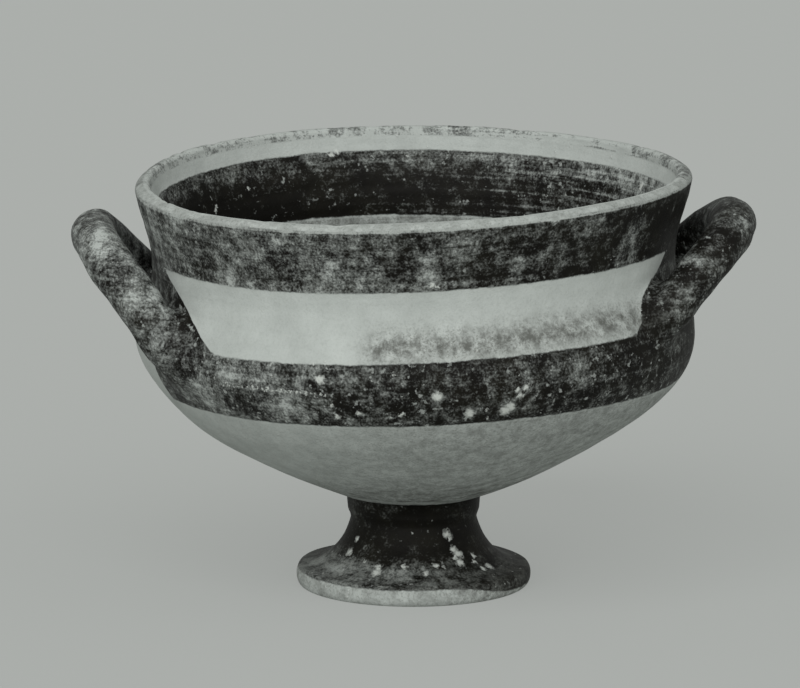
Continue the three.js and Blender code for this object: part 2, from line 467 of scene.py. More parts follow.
TURN_STEPS = 244
body = turn_profile("thrown_body", profile, TURN_STEPS)
middle = inside_face(face, 0.5)
core = turn_profile("wall_middle", np.vstack([[0, middle[0][1]], middle]), TURN_STEPS)
print("thrown body:", len(body.data.polygons), "faces")

# %% [markdown]
# ## Roll the handles
#
# Each handle is a rod of clay bent into a loop and pressed to the wall, a little thicker where the
# potter's thumb spread it. A tube along a curve is a rule too: the tree turns the loop's centre
# line into a curve, swells it towards both ends, and sweeps a circle along it. The loop is a
# squarish half ellipse in a plane that slopes up and out.

# %% Tree: roll a rod along a loop
def rod_tree():
    tree, node, given, output = new_tree("rolled_rod", [
        ("Rod Diameter", "Float"), ("Root Flare", "Float"), ("Flare Start", "Float"),
        ("Flare End", "Float"), ("Sides", "Int"), ("Material", "Material")])
    curve = node("GeometryNodeMeshToCurve", given["Geometry"])
    distance = node("GeometryNodeSplineParameter", give="Length")
    total = node("GeometryNodeSplineLength", give="Length")
    other_way = node(SUBTRACT, total, distance)
    to_end = node(MINIMUM, distance, other_way)
    swell = node(MAP_RANGE, to_end, given["Flare Start"], given["Flare End"],
                 given["Root Flare"], 1.0, interpolation_type="SMOOTHSTEP")
    sized = node("GeometryNodeSetCurveRadius", {"Curve": curve, "Radius": swell})
    radius = node(DIVIDE, given["Rod Diameter"], 2.0)
    circle = node("GeometryNodeCurvePrimitiveCircle",
                  {"Resolution": given["Sides"], "Radius": radius})
    rod = node("GeometryNodeCurveToMesh",
               {"Curve": sized, "Profile Curve": circle, "Fill Caps": True})
    tree.links.new(swell, rod.node.inputs["Scale"])
    finish_tree(tree, output, rod, given["Material"])
    return tree


rolled = rod_tree()
print(rolled.name, "has", len(rolled.nodes), "nodes")


# %% Lay out the loops and roll the rods
def face_radius_at(height):
    upper = face[face[:, 1] >= BELLY_HEIGHT]
    return np.interp(height, upper[:, 1], upper[:, 0])


def loop_line(root_height, tip_height, degrees, steps=120):
    wall_radius = face_radius_at(root_height)
    tip = np.array([HANDLE_REACH - ROD_DIAMETER / 2, tip_height])
    wall = np.array([math.sqrt(wall_radius ** 2 - ROOT_SPREAD ** 2), root_height])
    inward = (wall - tip) / np.linalg.norm(wall - tip)
    end = wall + ROOT_DEPTH * inward
    turn = np.linspace(0, math.pi, steps + 1)
    power = 2 / LOOP_SQUARENESS
    side = np.cos(turn)
    out = np.maximum(np.sin(turn), 0) ** power
    place = end + out[:, None] * (tip - end)
    spread = ROOT_SPREAD * np.sign(side) * np.abs(side) ** power
    c, s = math.cos(math.radians(degrees)), math.sin(math.radians(degrees))
    return np.stack([c * place[:, 0] - s * spread, s * place[:, 0] + c * spread, place[:, 1]], 1)


ROD_SIDES = 36
loops = {
    "left": loop_line(LEFT_ROOT_HEIGHT, LEFT_TIP_HEIGHT, 180),
    "right": loop_line(RIGHT_ROOT_HEIGHT, RIGHT_TIP_HEIGHT, RIGHT_TURN),
}
rod_settings = {
    "Rod Diameter": ROD_DIAMETER * MM, "Root Flare": ROOT_FLARE, "Sides": ROD_SIDES,
    "Flare Start": ROOT_DEPTH / 2 * MM, "Flare End": (ROOT_DEPTH + ROD_DIAMETER) * MM,
}
rods = {}
for side, line in loops.items():
    rods[side] = run_tree(chain_object(side + "_loop", line), rolled, side + "_rod", **rod_settings)
    print(side, "rod:", len(rods[side].data.polygons), "faces")

# %% [markdown]
# ## Join body and handles into one piece
#
# The rods run on past the wall, so their ends are first cut off along the middle of the wall. A
# boolean union then makes body and handles one closed shell, as one fired piece is.

# %% Trim the rods and join
def boolean(target, other, operation):
    modifier = target.modifiers.new("boolean", "BOOLEAN")
    modifier.operation = operation
    modifier.solver = "MANIFOLD"
    modifier.object = other
    evaluated = target.evaluated_get(bpy.context.evaluated_depsgraph_get())
    mesh = bpy.data.meshes.new_from_object(evaluated)
    target.modifiers.remove(modifier)
    target.data = mesh
    bpy.data.objects.remove(other)


for side in ("left", "right"):
    boolean(rods[side], add_object("core_copy", core.data), "DIFFERENCE")
    boolean(body, rods[side], "UNION")
bpy.data.objects.remove(core)
print("joined pot:", len(body.data.vertices), "points")

# %% [markdown]
# ## Know where each point lies
#
# The paint follows the pot, not the world: bands run at a height, and the root of each handle is
# painted over as a patch. So each point of the mesh gets its height, its place through the wall
# and its distance from the nearest rod, all in millimetres, before the pot is pushed out of true.

# %% Measure every point of the mesh
LOOP_REACH = 75
POINTS_AT_ONCE = 4000
ROD_SKIN = 0.3


def points_of(mesh):
    flat = np.empty(len(mesh.vertices) * 3)
    mesh.vertices.foreach_get("co", flat)
    return flat.reshape(-1, 3)


def rod_distances(points, line):
    a = line[:-1]
    d = np.diff(line, axis=0)
    best = np.full(len(points), np.inf)
    middle = [line[:, 0].mean(), 0, line[:, 2].mean()]
    close = np.flatnonzero(np.linalg.norm(points - middle, axis=1) < LOOP_REACH)
    for start in range(0, len(close), POINTS_AT_ONCE):
        chosen = close[start:start + POINTS_AT_ONCE]
        offset = points[chosen][:, None] - a
        t = np.clip((offset * d).sum(-1) / (d * d).sum(-1), 0, 1)
        best[chosen] = np.linalg.norm(offset - t[..., None] * d, axis=-1).min(1)
    return best


place = points_of(body.data) / MM
radius = np.hypot(place[:, 0], place[:, 1])
height = place[:, 2].copy()
outside = face[np.argsort(face[:, 1])]
wall_depth = np.interp(height, outside[:, 1], outside[:, 0]) - radius
to_rod = np.minimum(*[rod_distances(place, line) for line in loops.values()]) - ROD_DIAMETER / 2
print("points on the rods:", int((to_rod < ROD_SKIN).sum()))

# %% [markdown]
# ## Smear the clay at the roots
#
# The union leaves a sharp crease where rod meets wall. On the pot the potter smeared that crease
# over. Near it the points are drawn to the average of their neighbours, over and over, more the
# nearer they are to the crease, which gives the soft hollow that a thumb leaves.

# %% Soften the creases
SMEAR_CORE = 1.0
SMEAR_WIDTH = 6.0
SMEAR_PULL = 0.6
SMEAR_ROUNDS = 60


def soften(points, edges, weight, rounds):
    kept = (weight[edges] > 0).any(1)
    a, b = edges[kept].T
    count = np.bincount(np.r_[a, b], minlength=len(points)).clip(1)
    for _ in range(rounds):
        total = np.zeros_like(points)
        for axis in range(3):
            from_b = np.bincount(a, points[b, axis], len(points))
            from_a = np.bincount(b, points[a, axis], len(points))
            total[:, axis] = from_b + from_a
        points += weight[:, None] * (total / count[:, None] - points)
    return points


def smooth_share(value, low, high):
    t = np.clip((value - low) / (high - low), 0, 1)
    return t * t * (3 - 2 * t)


edge_ends = np.empty(len(body.data.edges) * 2, int)
body.data.edges.foreach_get("vertices", edge_ends)
from_crease = np.maximum(np.abs(to_rod), np.maximum(-wall_depth, 0))
on_outside = wall_depth < WALL_THICKNESS / 2
smear = np.where(on_outside, 1 - smooth_share(from_crease, SMEAR_CORE, SMEAR_WIDTH), 0)
place = soften(place, edge_ends.reshape(-1, 2), SMEAR_PULL * smear, SMEAR_ROUNDS)
print("smeared points:", int((smear > 0).sum()))

# %% [markdown]
# ## Push the pot out of true
#
# The bowl sagged a little on its stem before it was fired: one side of the rim stands higher, and
# the belly bulges on that side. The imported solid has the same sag, worked out in the same way. The
# finer skin adds a slight warp, by which the rim rises and falls twice in a turn and lies a little
# lower on the whole. The axis itself stays where it is.

# %% Sag the bowl and store the distance from the rods
FAR_FROM_ROD = 60


def store(mesh, name, values):
    layer = mesh.attributes.new(name, "FLOAT", "POINT")
    layer.data.foreach_set("value", np.asarray(values, np.float32))


share = smooth_share(place[:, 2], STEM_TOP_HEIGHT, BELLY_HEIGHT)
near_bulge = 1 - np.clip(np.abs(place[:, 2] - BULGE_HEIGHT) / BULGE_SPAN, 0, 1)
push = BULGE_SHIFT * smooth_share(near_bulge, 0, 1)
sagged = place.copy()
sagged[:, 2] += share * RIM_RISE / (2 * RIM_RADIUS) * place[:, 0]
azimuth = np.arctan2(place[:, 1], place[:, 0])
off_axis = smooth_share(np.hypot(place[:, 0], place[:, 1]), 0, WAIST_RADIUS)
warp = RIM_WARP * (np.cos(2 * (azimuth - math.radians(WARP_TURN))) - WARP_DROP)
sagged[:, 2] += share * off_axis * warp
sagged[:, 0] += push
body.data.vertices.foreach_set("co", (sagged * MM).ravel())
store(body.data, "to_rod", np.minimum(to_rod, FAR_FROM_ROD))
print("rim stands", round(sagged[:, 2].max(), 1), "mm high")

# %% [markdown]
# ## Where the painter laid slip
#
# The painter held a brush to the turning pot, so the bands are rings of constant height. Round each
# handle the wall was painted by hand as a patch that narrows upwards, and in front the top of the
# lip was left bare. All of it can be kept in one number for each point: how many millimetres it
# lies inside the painted area, or outside it when the number is negative. Between two points the
# number changes evenly, so the material can cut it at zero and get an edge far sharper than the
# mesh is fine. An image of the paint would need a map of the pot, and would blur from close by.

# %% Bands in millimetres of height, and stretches in degrees round the pot
LIP_BAND = (106.0, 125.9)
BELLY_BAND = (65.7, 85.6)
STEM_BAND = (5.0, 28.8)
INSIDE_BAND = (100.2, 120.1)
INSIDE_LIP_BAND = (124.3, 126.8)
BARE_LIP_MIDDLE = -98
BARE_LIP_HALF = 78
BARE_LIP_FADE = 10
OVER_LIP = 3
# for each handle: half the patch's angle at a low and at a high place
ROOT_PATCHES = {180: ((86, 40.3), (104, 18.3)), RIGHT_TURN: ((86, 37.5), (103, 20.0))}
PATCH_FOOT_HEIGHT = 70
PATCH_FOOT_SLOPE = 0.8
ROD_PAINT_REACH = 2.4
# the bare place under the left handle
RESERVE_BAND = (60, 80)
RESERVE_HALF = 18
RESERVE_MM_PER_DEGREE = 1.4
# towards +X the dark slip colour comes lower on the foot's edge: partly dirt, partly painted shade
# on the side away from the light
FOOT_DIRT_AND_SHADE_DROP = 3.5
DIRT_AND_SHADE_SPAN = (10, 32)
STEM_REACH = 2.5
SKIN_DEPTH = 1.0
BARE = -5.0
print("bands outside:", LIP_BAND, BELLY_BAND, STEM_BAND, "and inside:", INSIDE_BAND)


# %% Measure the painted areas
def in_band(values, band):
    return np.minimum(values - band[0], band[1] - values)


def degrees_from(points, axis):
    turned_to = np.degrees(np.arctan2(points[:, 1], points[:, 0])) - axis
    return np.abs((turned_to + 180) % 360 - 180)


def root_patch(axis, low, high):
    reach = low[1] + (height - low[0]) * (high[1] - low[1]) / (high[0] - low[0])
    sides = (reach - degrees_from(place, axis)) * math.radians(BELLY_RADIUS)
    patch = np.minimum(sides, PATCH_FOOT_SLOPE * (height - PATCH_FOOT_HEIGHT))
    return np.minimum(patch, LIP_BAND[1] - height)


foot_outside = foot[np.flatnonzero(foot[:, 1] == 0)[-1]:]
foot_radius = np.interp(height, foot_outside[:, 1], foot_outside[:, 0])
on_foot = height < STEM_TOP_HEIGHT + STEM_REACH
under_foot = (height < HOLLOW_DEPTH + SKIN_DEPTH) & (foot_radius - radius > SKIN_DEPTH)
inside = (height > STEM_TOP_HEIGHT + FLOOR_THICKNESS / 2) & (wall_depth > WALL_THICKNESS / 2)

from_bare_lip = degrees_from(place, BARE_LIP_MIDDLE) - BARE_LIP_HALF
over_lip = OVER_LIP * (2 * smooth_share(from_bare_lip, 0, BARE_LIP_FADE) - 1)
outer = np.maximum(in_band(height, LIP_BAND), in_band(height, BELLY_BAND))
outer = np.maximum(outer, np.minimum(height - LIP_BAND[0], over_lip))
for axis, (low, high) in ROOT_PATCHES.items():
    outer = np.maximum(outer, root_patch(axis, low, high))
reserve_sides = (RESERVE_HALF - degrees_from(place, 180)) * RESERVE_MM_PER_DEGREE
outer = np.minimum(outer, -np.minimum(in_band(height, RESERVE_BAND), reserve_sides))
outer = np.maximum(outer, ROD_PAINT_REACH - to_rod)

inner_paint = np.maximum(in_band(height, INSIDE_BAND), in_band(height, INSIDE_LIP_BAND))
inner_paint = np.maximum(inner_paint, np.minimum(height - INSIDE_LIP_BAND[0], over_lip))
# painted shade and dirt: the dark slip colour reaches lower on the foot's edge towards +X
dirt_and_shade_drop = FOOT_DIRT_AND_SHADE_DROP * smooth_share(place[:, 0], *DIRT_AND_SHADE_SPAN)
foot_paint = np.minimum(height - STEM_BAND[0] + dirt_and_shade_drop, STEM_BAND[1] - height)

slip = np.where(inside, inner_paint, outer)
slip = np.where(on_foot, foot_paint, slip)
slip = np.where(under_foot, BARE, slip)
print("painted points:", int((slip > 0).sum()), "of", len(slip))

# %% [markdown]
# ## Where the pot is worn
#
# Slip wears in two ways. It thins to a haze where hands and soil rubbed it, and it flakes off in
# crisp spots where salts pushed it up. Bare clay takes on stains, and the same number carries
# painted shade too, under the bowl and on the side away from the light. Each of the three is one
# number at each point. The haze is a mean level, round which the material's patterns swing: 0 gives
# whole slip, and 1 gives slip that is nearly gone. Flaking and stain with painted shade run from 0
# to 1 too.
#
# Broad levels follow from where a point lies. On the side that the picture shows they are judged
# at five places from the -X side to the +X side, and the back gets their mean.

# %% Levels of wear, stain and painted light from side to side
LIP_HAZE = (0.54, 0.53, 0.38, 0.2, 0.0)
LIP_FLAKING = (0.3, 0.2, 0.2, 0.1, 0.0)
BELLY_HAZE = (0.5, 0.48, 0.2, 0.24, 0.16)
BELLY_FLAKING = (0.6, 0.6, 0.5, 0.5, 0.2)
# the bare belly darkens towards +X: partly stain, partly painted shade on the side away from the
# light
BELLY_STAIN_AND_SHADE = (0.1, 0.12, 0.36, 0.38, 0.4)
# on the foot the -X side, towards the light, is made paler and the +X side darker: partly wear and
# dirt, partly painted light and shade
FOOT_WEAR_AND_LIGHT = (0.85, 0.85, 0.36, 0.24, 0.2)
FOOT_FLAKING = (0.5, 0.5, 0.5, 0.3, 0.3)
FOOT_STAIN_AND_SHADE = (0.4, 0.4, 0.3, 0.85, 1.0)
SIDE_REACH = 80
FRONT_FADE = 20

x = place[:, 0]
front = smooth_share(-place[:, 1], -FRONT_FADE, FRONT_FADE)


def side_to_side(levels):
    seen = np.interp(x, np.linspace(-SIDE_REACH, SIDE_REACH, len(levels)), levels)
    return front * seen + (1 - front) * np.mean(levels)


print("mean haze of the lip band:", round(np.mean(LIP_HAZE), 2))

# %% Wear of the bands and the foot
BAND_MARGIN = 4

haze = np.full(len(place), 0.3)
flaked = np.full(len(place), 0.2)
lip_band = ~inside & ~on_foot & (height > LIP_BAND[0] - BAND_MARGIN)
haze[lip_band] = side_to_side(LIP_HAZE)[lip_band]
flaked[lip_band] = side_to_side(LIP_FLAKING)[lip_band]
belly_band = ~inside & ~on_foot & (height < BELLY_BAND[1] + BAND_MARGIN)
haze[belly_band] = side_to_side(BELLY_HAZE)[belly_band]
flaked[belly_band] = side_to_side(BELLY_FLAKING)[belly_band]

on_stem = smooth_share(height, 8, 15)
at_collar = smooth_share(height, 19, 24)
stem_haze = 0.2 * at_collar - 0.1
# the foot's top is paler on the side of the light: partly wear, partly painted light
haze[on_foot] = (on_stem * stem_haze + (1 - on_stem) * side_to_side(FOOT_WEAR_AND_LIGHT))[on_foot]
flaked[on_foot] = ((1 - on_stem) * side_to_side(FOOT_FLAKING))[on_foot]
print("mean haze on the foot:", haze[on_foot].mean().round(2))

# %% Wear inside, on the lip and on the handles, and painted highlight on the left handle
INSIDE_PLACES = (-80, -40, 10, 45, 75)
INSIDE_HAZE = (0.0, -0.12, 0.0, 0.14, 0.36)
LIP_TOP_HAZE = 1.05
LIP_TOP_FLAKING = 0.6
RIGHT_ROD_HAZE = 0.26
LEFT_ROOT_HAZE = 0.36
LEFT_TIP_WEAR_AND_HIGHLIGHT = 0.66
ROD_FLAKING = 0.4

worn_strip = smooth_share(height, 112, 118)
worn_side = np.interp(x, INSIDE_PLACES, INSIDE_HAZE)
haze[inside] = (worn_side + 0.4 * worn_strip - 0.02)[inside]
flaked[inside] = (0.1 + 0.3 * worn_strip + 0.4 * smooth_share(x, 10, 60))[inside]
scratched = inside * smooth_share(x, -40, 50)

outer_top = ~inside & (height > LIP_BAND[1] - 0.8)
top_strip = outer_top | (inside & (height > INSIDE_LIP_BAND[0] - 0.5))
haze[top_strip] = LIP_TOP_HAZE
flaked[top_strip] = LIP_TOP_FLAKING

on_rod = ~inside * smooth_share(-to_rod, -3.5, -0.5)
# the left rod, on the side of the light, gets paler towards its top: partly wear, partly painted
# highlight
up_rod = smooth_share(height, 88, 104)
left_wear_and_highlight = LEFT_ROOT_HAZE + (LEFT_TIP_WEAR_AND_HIGHLIGHT - LEFT_ROOT_HAZE) * up_rod
haze += on_rod * (np.where(x < 0, left_wear_and_highlight, RIGHT_ROD_HAZE) - haze)
flaked += on_rod * (ROD_FLAKING - flaked)
print("scratched points:", int((scratched > 0).sum()))

# %% Stains and painted shade on the bare clay
# painted shade and dirt: the bare clay under the bowl darkens towards the stem
STEM_JOIN_SHADE_AND_DIRT = 0.35
# bare clay inside the bowl, below the painted band, is made darker
INSIDE_DARKENING = 0.6
LIP_TOP_STAIN = 0.3
UNDER_FOOT_STAIN = 0.45

# one number for stains on bare clay, which also carries painted shade
stain = np.full(len(place), 0.03)
bare_belly = ~inside & (height < BELLY_BAND[0]) & (height > STEM_TOP_HEIGHT - 2)
near_stem = 1 - smooth_share(height, 29, 44)
# the bare belly darkens towards +X and towards the stem, partly stain and partly painted shade
stain[bare_belly] = (side_to_side(BELLY_STAIN_AND_SHADE) + STEM_JOIN_SHADE_AND_DIRT * near_stem)[bare_belly]
stain[inside & (height < INSIDE_BAND[0])] = INSIDE_DARKENING
# the foot's bare edge darkens towards +X: partly dirt, partly painted shade
stain[on_foot] = side_to_side(FOOT_STAIN_AND_SHADE)[on_foot]
stain[outer_top] = LIP_TOP_STAIN
stain[under_foot] = UNDER_FOOT_STAIN
print("mean stain under the belly:", stain[bare_belly].mean().round(2))

# %% [markdown]
# ## The marks that the picture shows
#
# A mark belongs at one place on the pot, and the picture tells where. A line of sight from the
# camera through a pixel meets the surface in one point, and the mark fades out round that point in
# all directions, so it is right from every side.

# %% Find places on the surface by sight
def sight_line(pixel):
    across = (pixel[0] - PHOTO_WIDTH / 2) / focal_pixels
    down = (pixel[1] - PHOTO_HEIGHT / 2) / focal_pixels
    return (camera_matrix.to_3x3() @ Vector((across, -down, -1))).normalized()


surface = BVHTree.FromObject(body, bpy.context.evaluated_depsgraph_get())


def place_at(pixel):
    hit, _, _, _ = surface.ray_cast(camera_matrix.translation, sight_line(pixel))
    return tuple(float(v) / MM for v in hit)


def near(pixels, reach):
    nearest = np.min([np.linalg.norm(sagged - place_at(p), axis=1) for p in pixels], axis=0)
    return np.exp(-((nearest / reach) ** 2))


def between(start, end, count):
    return [tuple(p) for p in np.linspace(start, end, count)]


BELLY_MIDDLE_PIXEL = (413, 390)
print("the belly in the picture's middle is at", np.round(place_at(BELLY_MIDDLE_PIXEL), 1), "mm")

# %% Pixels of the marks, under their reach in millimetres
GREY_SMEAR = between((380, 349), (500, 342), 9) + between((500, 342), (655, 316), 16)
SMEAR_REACH = 5.0
SMEAR_STAIN = 0.72
PALE_OVAL = [(621, 259), (632, 256), (622, 249), (632, 246), (631, 238), (635, 231)]
OVAL_REACH = 2.6
OVAL_HAZE = 0.75
# paler slip: worn places, and on both handles painted highlights where the light falls on the rods'
# crests
PALER_AND_HIGHLIGHT_HAZE = 0.4
PALER_AND_HIGHLIGHTS = {
    4: [(330, 266), (150, 215), (156, 235), (146, 225), (178, 212), (267, 375), (318, 560),
        (335, 568), (400, 572), (600, 412)],
    3.5: [(235, 372), (209, 400), (625, 404)],
    3: [(275, 241), (424, 262), (427, 277), (545, 258), (590, 380), (102, 232), (200, 385),
        (190, 395), (716, 205), (706, 222), (684, 262), (645, 396)],
    2.5: [(520, 263), (286, 405), (97, 250), (158, 296), (157, 342), (742, 222)],
    2: [(452, 243), (587, 234), (300, 380)],
    1.8: [(362, 281)],
    1.6: [(555, 220), (604, 219), (320, 380), (438, 397)],
    1.5: [(231, 279), (470, 412), (506, 410), (515, 402), (523, 392)],
    1.4: [(104, 250), (128, 262)],
    1.1: [(240, 388), (228, 386), (252, 389), (264, 391), (276, 392), (288, 393)],
}
DARKER_HAZE = -0.22
DARKER = {
    8: [(660, 230), (690, 330), (655, 360), (420, 520)],
    6: [(205, 263), (286, 275), (396, 270), (480, 270), (325, 408), (480, 398)],
    5: [(603, 250), (245, 401), (350, 398), (410, 405), (190, 320), (200, 345), (725, 245)],
    4: [(500, 375), (143, 322), (166, 375), (185, 300)],
    3: [(104, 286), (116, 293)],
    2.5: [(86, 262)],
}
print(sum(map(len, PALER_AND_HIGHLIGHTS.values())), "paler and", sum(map(len, DARKER.values())), "darker places")

# %% Lay the marks on and store every measure
stain += SMEAR_STAIN * near(GREY_SMEAR, SMEAR_REACH)
haze += OVAL_HAZE * near(PALE_OVAL, OVAL_REACH)
# paler places, partly worn slip and partly painted highlights on the handles, and darker places
for marks, change in ((PALER_AND_HIGHLIGHTS, PALER_AND_HIGHLIGHT_HAZE), (DARKER, DARKER_HAZE)):
    for reach, pixels in marks.items():
        haze += change * sum(near([pixel], reach) for pixel in pixels)
measures = {
    "slip": slip, "haze": haze, "flaked": flaked, "stain": stain, "pot_height": height,
    "inside": inside.astype(float), "scratched": scratched,
}
for name, values in measures.items():
    store(body.data, name, values)
print("haze up to", round(haze.max(), 2), "flaking up to", round(flaked.max(), 2))

# %% [markdown]
# ## Fired clay under worn slip
#
# The pot is earthenware: pale clay with fine grit, fired hard but not glassy, so it is matt and
# rough, with an IOR near 1.5 that hardly shows. The paint is slip, a very fine clay rich in iron
# that fired dark, with a faint sheen where it is whole. The material is built in the order in which
# things happened to the pot: the clay, the slip laid on it, the wear of the slip, and last the pale
# lime that grew on it in the ground.

# %% Colours
def srgb(text):
    values = [int(text[i:i + 2], 16) / 255 for i in (1, 3, 5)]
    linear = [v / 12.92 if v <= 0.04045 else ((v + 0.055) / 1.055) ** 2.4 for v in values]
    return (*linear, 1.0)


CLAY_PALE = srgb("#A9AEAA")
CLAY_GREY = srgb("#9EA39F")
CLAY_STAINED_AND_SHADED = srgb("#5A5C58")
GRIT = srgb("#3F3E37")
SLIP_DARK = srgb("#0B0A07")
SLIP_THIN = srgb("#16150F")
LIME = srgb("#AFB3AE")
print("slip is", round(CLAY_PALE[1] / SLIP_DARK[1]), "times darker than clay")

# %% [markdown]
# ### Patterns that the whole material shares
#
# Each pattern is a noise on the pot's own coordinates in millimetres, so it stays with the clay.
# Clouds and flecks make the wear uneven, grain gives the grit, spots say where slip lifts off, and
# streaks run round the pot as brush and scouring hand did: their coordinates are squeezed along X
# and Y, and their height is the point's height before the pot sagged.

# %% Noise patterns: size in millimetres, detail, roughness
PATTERNS = {
    "cloud": (11, 6.0, 0.65),
    "fleck": (3.4, 5.0, 0.7),
    "grain": (0.7, 2.0, 0.6),
    "spots": (2.2, 3.0, 0.55),
    "streak": (1.3, 3.0, 0.6),
}
STREAK_SQUEEZE = 0.04


def shared_patterns(node):
    where = node("ShaderNodeTexCoord", give="Object")
    place_mm = node(SCALE, where, {"Scale": 1 / MM})
    shared = {"place": place_mm}
    for name in ("slip", "haze", "flaked", "stain", "scratched", "pot_height"):
        shared[name] = node("ShaderNodeAttribute", attribute_name=name, give="Fac")
    parts = node("ShaderNodeSeparateXYZ", place_mm).node.outputs
    long_way = [node(MULTIPLY, parts[axis], STREAK_SQUEEZE) for axis in (0, 1)]
    brushed = node("ShaderNodeCombineXYZ", *long_way, shared["pot_height"])
    for name, (size, detail, roughness) in PATTERNS.items():
        follows = brushed if name == "streak" else place_mm
        settings = {"Scale": 1 / size, "Detail": detail, "Roughness": roughness}
        shared[name] = node(NOISE, follows, settings)
    return shared


print(len(PATTERNS), "patterns")

# %% [markdown]
# ### Bare clay
#
# Clay is never one colour. Two close tones follow the clouds, and dark grit and a darker tone show
# where the surface is stained. The same darkening also lays painted shade under the bowl and on its
# side away from the light. It is mottled, because dirt stays in the hollows.

# %% Clay, grit, stain and painted shade
CLOUD_RANGE = (0.35, 0.65)
GRIT_RANGE = (0.5, 0.66)
GRIT_IN_STAIN_AND_SHADE = 0.75
GRIT_EVERYWHERE = 0.06
MOTTLE_RANGE = (0.36, 0.64)
MOTTLE = (0.15, 1.55)


def bare_clay(node, shared):
    tone = node(MAP_RANGE, shared["cloud"], *CLOUD_RANGE)
    colour = node(MIX, tone, {FIRST: CLAY_PALE, SECOND: CLAY_GREY}, give=MIXED)
    gritty = node(MULTIPLY_ADD, shared["stain"], GRIT_IN_STAIN_AND_SHADE, GRIT_EVERYWHERE)
    grit = node(MAP_RANGE, shared["grain"], *GRIT_RANGE)
    grit = node(MULTIPLY, grit, gritty)
    colour = node(MIX, grit, {FIRST: colour, SECOND: GRIT}, give=MIXED)
    mottled = node(MAP_RANGE, shared["fleck"], *MOTTLE_RANGE, *MOTTLE)
    # this darkens bare clay both for real stains and as painted shade
    stained_and_shaded = node(MULTIPLY, shared["stain"], mottled, use_clamp=True)
    return node(MIX, stained_and_shaded, {FIRST: colour, SECOND: CLAY_STAINED_AND_SHADED}, give=MIXED)


print("grit covers up to", round(100 * (GRIT_IN_STAIN_AND_SHADE + GRIT_EVERYWHERE)), "% of stained clay")

# %% [markdown]
# ### Worn slip
#
# The slip number is cut at zero, with a little waver from the brush. Wear adds the swings of the
# patterns to the haze level. What it leaves falls with its square, so that slip with little wear
# stays whole and dark, as it does on the pot, and worn slip thins fast. Flakes are cut out of the
# spots by a hard edge.

# %% Slip and its wear
WEAR_GAINS = {"cloud": 1.4, "fleck": 2.2, "grain": 1.4, "streak": 0.8}
EDGE_WAVER = 1.6
EDGE_SOFTNESS = (-0.25, 0.35)
SCRATCH_RANGE = (0.5, 0.7)
SCRATCH_GAIN = 0.35
THINNING = 0.8
FLAKE_GAIN = 0.12
FLAKE_RANGE = (0.67, 0.75)
FLAKE_DEPTH = 0.6


def slip_cover(node, shared):
    """How much of the slip is left at each point, from 0 to 1."""
    waver = node(MULTIPLY_ADD, shared["fleck"], EDGE_WAVER, -EDGE_WAVER / 2)
    edge = node(ADD, shared["slip"], waver)
    laid = node(MAP_RANGE, edge, *EDGE_SOFTNESS, interpolation_type="SMOOTHSTEP")
    wear = node(SUBTRACT, shared["haze"], sum(WEAR_GAINS.values()) / 2)
    for name, gain in WEAR_GAINS.items():
        wear = node(MULTIPLY_ADD, shared[name], gain, wear)
    scratches = node(MAP_RANGE, shared["streak"], *SCRATCH_RANGE)
    scratches = node(MULTIPLY, scratches, shared["scratched"])
    wear = node(MULTIPLY_ADD, scratches, SCRATCH_GAIN, wear)
    wear = node(MAXIMUM, wear, 0.0)
    squared = node(POWER, wear, 2.0)
    thinned = node(MULTIPLY, squared, THINNING)
    flaking = node(MULTIPLY_ADD, shared["flaked"], FLAKE_GAIN, shared["spots"])
    gone = node(MAP_RANGE, flaking, *FLAKE_RANGE, 0.0, FLAKE_DEPTH)
    lost = node(MAXIMUM, gone, thinned)
    left = node(SUBTRACT, 1.0, lost, use_clamp=True)
    return node(MULTIPLY, laid, left)


print("patterns swing the wear by", round(sum(WEAR_GAINS.values()), 1), "times their own swing")

# %% [markdown]
# ### Lime crusts
#
# Lime grew on the pot in blobs. The larger ones are named by the pixel at which they are seen and
# by their radius in millimetres, and one long scratch is a row of small ones. A little shake of the
# coordinates breaks up their round edges. Fine specks follow the cells of a Voronoi pattern, and
# only some cells, by chance, carry one.

# %% Pixels of the crusts, under their radius in millimetres
CRUSTS = {
    1.6: [(505, 411)],
    1.5: [(470, 413), (511, 407)],
    1.4: [(458, 554), (376, 573), (437, 397)],
    1.3: [(447, 534), (460, 563), (349, 552), (320, 380)],
    1.2: [(453, 550), (489, 567)],
    1.1: [(640, 187)],
    1.0: [(378, 568), (404, 567), (520, 396)],
    0.9: [(455, 558), (473, 556), (436, 566), (357, 539), (483, 569), (426, 574), (526, 388),
        (358, 414), (337, 417), (332, 154)],
    0.8: [(450, 539), (474, 562), (518, 390), (402, 415), (432, 286), (216, 211), (337, 152)],
    0.7: [(443, 567), (331, 406), (248, 189)],
    0.6: [(437, 287), (216, 206)],
    0.5: [(412, 534)],
}
SCRATCH_RADIUS = 0.5
CRUSTS[SCRATCH_RADIUS] += between((224, 385), (325, 395), 22)
print(sum(map(len, CRUSTS.values())), "crusts")

# %% Lime
SHAKE_SIZE = 1.1
SHAKE_REACH = 2.6
CRUST_EDGE = 1.3
CRUST_CORE = 0.5
SPECK_SPACING = 3.2
SPECK_CHANCE = 0.3
SPECK_RADIUS = 0.17
SPECK_EDGE = 0.1
SPECK_COVER = 0.7


